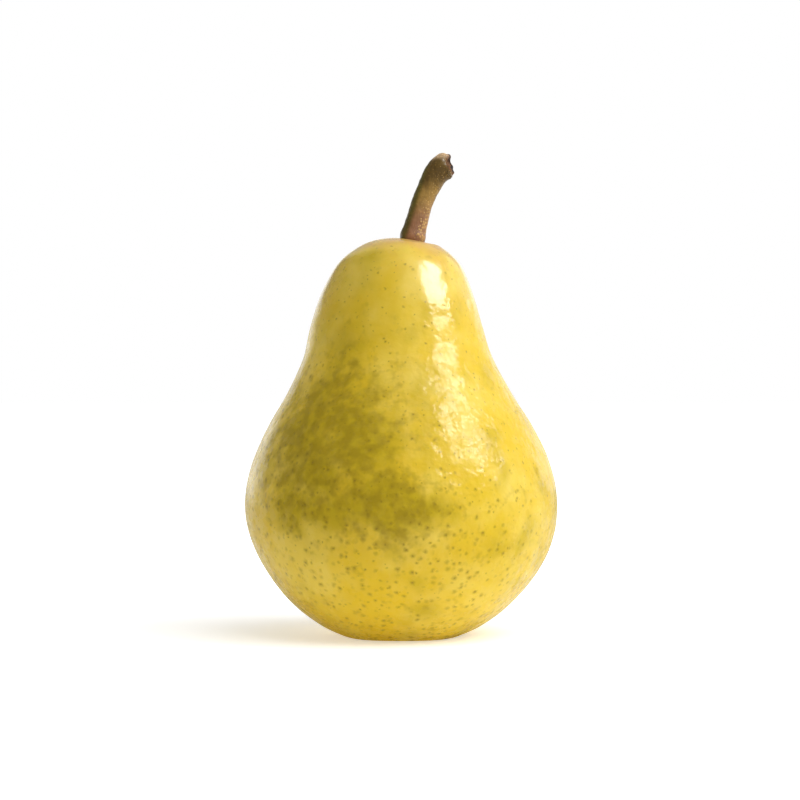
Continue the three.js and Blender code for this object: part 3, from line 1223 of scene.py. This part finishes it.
PANEL_DISTANCE = 0.7
LIGHT_DISTANCE = 0.72  # just behind, because two lamps in one plane would hide each other
PANELS_FACE = Vector((0, 0, 50 * MM))

CAMERA_ASIDE, CAMERA_HEIGHT = -0.225 * MM, 52.85 * MM
SENSOR_WIDTH = 36

FLOOR_HALF_SIZE, FLOOR_DROP = 30, 0.05 * MM
FLOOR_GREY = (0.16, 0.16, 0.16, 1)
FLOOR_FRONT_FROM, FLOOR_FRONT_FULL = 10 * MM, -20 * MM
FLOOR_FAR_FROM, FLOOR_FAR_FULL = 60 * MM, 160 * MM
FLOOR_BOUNCE = 0.32  # radiance that it adds to the light on the pear
WHITE = (1, 1, 1, 1)


def make_painted_floor(look):
    """Matt white paint round the pear and behind it, and grey farther out in front.

    In the pear's shine it is grey all over the front, so the belly doesn't mirror it. The camera sees it
    glow whiter with distance, and it gives the underside a soft light from below.
    """
    material, tree, shader = start_material("painted_floor")
    place = add_node(tree, "ShaderNodeTexCoord").outputs["Object"]
    far = add_node(tree, "ShaderNodeVectorMath", {0: place}, operation="LENGTH")
    fade = add_node(
        tree,
        "ShaderNodeMapRange",
        {"Value": far.outputs["Value"], "From Min": FLOOR_FAR_FROM, "From Max": FLOOR_FAR_FULL},
        interpolation_type="SMOOTHSTEP",
    )
    rays = add_node(tree, "ShaderNodeLightPath")
    depth = add_node(tree, "ShaderNodeSeparateXYZ", {0: place}).outputs["Y"]
    front = add_node(
        tree,
        "ShaderNodeMapRange",
        {"Value": depth, "From Min": FLOOR_FRONT_FROM, "From Max": FLOOR_FRONT_FULL},
        interpolation_type="SMOOTHSTEP",
    )
    dimmed = add_node(
        tree,
        "ShaderNodeMath",
        {0: fade.outputs[0], 1: rays.outputs["Is Glossy Ray"]},
        operation="MAXIMUM",
    )
    grey = add_node(
        tree, "ShaderNodeMath", {0: front.outputs[0], 1: dimmed.outputs[0]}, operation="MULTIPLY"
    )
    paint = add_node(
        tree,
        "ShaderNodeMix",
        {FACTOR: grey.outputs[0], COLOUR_A: (*look.floor, 1), COLOUR_B: FLOOR_GREY},
        data_type="RGBA",
    )
    rise = add_node(
        tree, "ShaderNodeMapRange", {"Value": fade.outputs[0], "To Min": look.glow, "To Max": 1.0}
    )
    seen = add_node(
        tree,
        "ShaderNodeMath",
        {0: rays.outputs["Is Camera Ray"], 1: rise.outputs[0]},
        operation="MULTIPLY",
    )
    glow = add_node(
        tree,
        "ShaderNodeMath",
        {0: rays.outputs["Is Diffuse Ray"], 1: FLOOR_BOUNCE, 2: seen.outputs[0]},
        operation="MULTIPLY_ADD",
    )
    tree.links.new(paint.outputs[COLOUR_OUT], shader.inputs["Base Color"])
    tree.links.new(glow.outputs[0], shader.inputs["Emission Strength"])
    shader.inputs["Emission Color"].default_value = WHITE
    shader.inputs["Roughness"].default_value = 0.9
    return material


def add_panel(name, azimuth, elevation, size, radiance, shine, target):
    """A soft light panel that faces the target. Azimuth 0 is +X and 90 is +Y, both in degrees.

    It is two area lights in one place: one lights the surfaces and the other is seen in their shine.
    """
    turn, rise = math.radians(azimuth), math.radians(elevation)
    away = Vector((math.cos(turn) * math.cos(rise), math.sin(turn) * math.cos(rise), math.sin(rise)))
    lamps = (("light", radiance, LIGHT_DISTANCE), ("shine", shine, PANEL_DISTANCE))
    for part, strength, distance in lamps:
        light = bpy.data.lights.new(f"{name}_{part}", "AREA")
        light.shape = "RECTANGLE"
        light.size, light.size_y = size
        light.energy = strength * math.pi * size[0] * size[1]
        panel = bpy.data.objects.new(f"{name}_{part}", light)
        panel.location = target + away * distance
        panel.rotation_euler = away.to_track_quat("Z", "Y").to_euler()
        panel.visible_camera = False
        panel.visible_glossy = part == "shine"
        panel.visible_diffuse = part == "light"
        bpy.context.scene.collection.objects.link(panel)


class PEAR_OT_stage(bpy.types.Operator):
    """Sets up the camera, the pale floor and the soft light"""

    bl_idname = "pear.stage"
    bl_label = "Studio"

    def execute(self, context):
        look = context.scene.pear_stage
        scene = context.scene
        scene.view_settings.view_transform = "Standard"

        camera = bpy.data.objects.new("camera", bpy.data.cameras.new("camera"))
        camera.data.lens = look.lens
        camera.data.sensor_width = SENSOR_WIDTH
        camera.location = (CAMERA_ASIDE, -look.distance, CAMERA_HEIGHT)
        camera.rotation_euler = (math.pi / 2, 0, 0)
        scene.collection.objects.link(camera)
        scene.camera = camera

        bm = bmesh.new()
        bmesh.ops.create_grid(bm, x_segments=1, y_segments=1, size=FLOOR_HALF_SIZE)
        bmesh.ops.translate(bm, verts=bm.verts, vec=(0, 0, -FLOOR_DROP))
        mesh = bpy.data.meshes.new("floor")
        bm.to_mesh(mesh)
        bm.free()
        floor = bpy.data.objects.new("floor", mesh)
        scene.collection.objects.link(floor)
        mesh.materials.append(make_painted_floor(look))

        for panel in PANELS:
            add_panel(*panel, PANELS_FACE)
        bpy.data.lights["window_shine"].shape = "ELLIPSE"

        world = bpy.data.worlds.new("room")
        scene.world = world
        world.use_nodes = True
        tree = world.node_tree
        tree.nodes.clear()
        rays = add_node(tree, "ShaderNodeLightPath")
        seen = add_node(tree, "ShaderNodeBackground", {"Color": WHITE, "Strength": 1.0})
        room = add_node(tree, "ShaderNodeBackground", {"Color": WHITE, "Strength": look.room})
        mix = add_node(
            tree,
            "ShaderNodeMixShader",
            {0: rays.outputs["Is Camera Ray"], 1: room.outputs[0], 2: seen.outputs[0]},
        )
        add_node(tree, "ShaderNodeOutputWorld", {"Surface": mix.outputs[0]})
        return {"FINISHED"}


# --- Add-on ---


class VIEW3D_PT_pear(bpy.types.Panel):
    """Lists the pear's operators"""

    bl_label = "Pear"
    bl_space_type = "VIEW_3D"
    bl_region_type = "UI"
    bl_category = "Pear"

    def draw(self, context):
        for operator in OPERATORS:
            self.layout.operator(operator.bl_idname)


SETTINGS = {
    "pear_stage": PearStageSettings,
    "pear_fruit": PearFruitSettings,
    "pear_stem": PearStemSettings,
    "pear_calyx": PearCalyxSettings,
}
OPERATORS = (PEAR_OT_stage, PEAR_OT_fruit, PEAR_OT_stem, PEAR_OT_sepals, PEAR_OT_stamens)
CLASSES = (*SETTINGS.values(), *OPERATORS, VIEW3D_PT_pear)


def register():
    for cls in CLASSES:
        bpy.utils.register_class(cls)
    for name, cls in SETTINGS.items():
        setattr(bpy.types.Scene, name, PointerProperty(type=cls))


def unregister():
    for name in SETTINGS:
        delattr(bpy.types.Scene, name)
    for cls in reversed(CLASSES):
        bpy.utils.unregister_class(cls)


def main():
    register()
    bpy.ops.pear.stage()
    bpy.ops.pear.fruit()
    bpy.ops.pear.stem()
    bpy.ops.pear.sepals()
    bpy.ops.pear.stamens()


if __name__ == "__main__":
    main()
